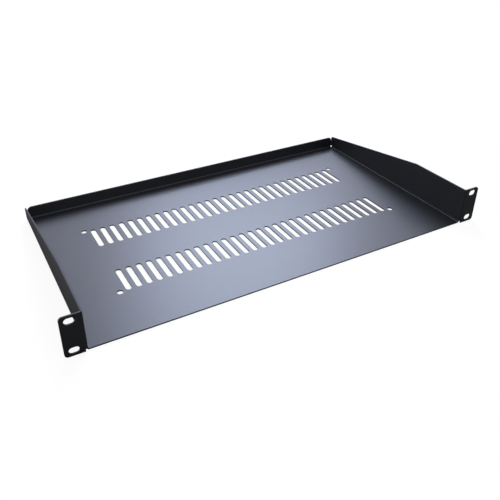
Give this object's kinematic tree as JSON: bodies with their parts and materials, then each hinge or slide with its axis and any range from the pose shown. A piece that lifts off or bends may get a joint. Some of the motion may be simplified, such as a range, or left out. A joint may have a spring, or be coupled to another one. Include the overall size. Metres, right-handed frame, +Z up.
{
  "type": "cantilever rack shelf",
  "caption": "Cantilever shelf for a 19-inch equipment rack: a vented tray folded from sheet steel, with slotted front ears, side walls that slope down to the rear, and a low rear lip.",
  "frame": {"origin": "middle of the rack slots, on the front face of the ears", "axes": "+X across the rack, to the right when facing the front; +Y into the rack; +Z up"},
  "size_m": [0.4826, 0.252, 0.0434],
  "materials": {
    "powder_coat": "black satin powder coat on sheet steel"
  },
  "bodies": {
    "root": {"shelf_tray": "powder_coat"}
  },
  "joints": []
}
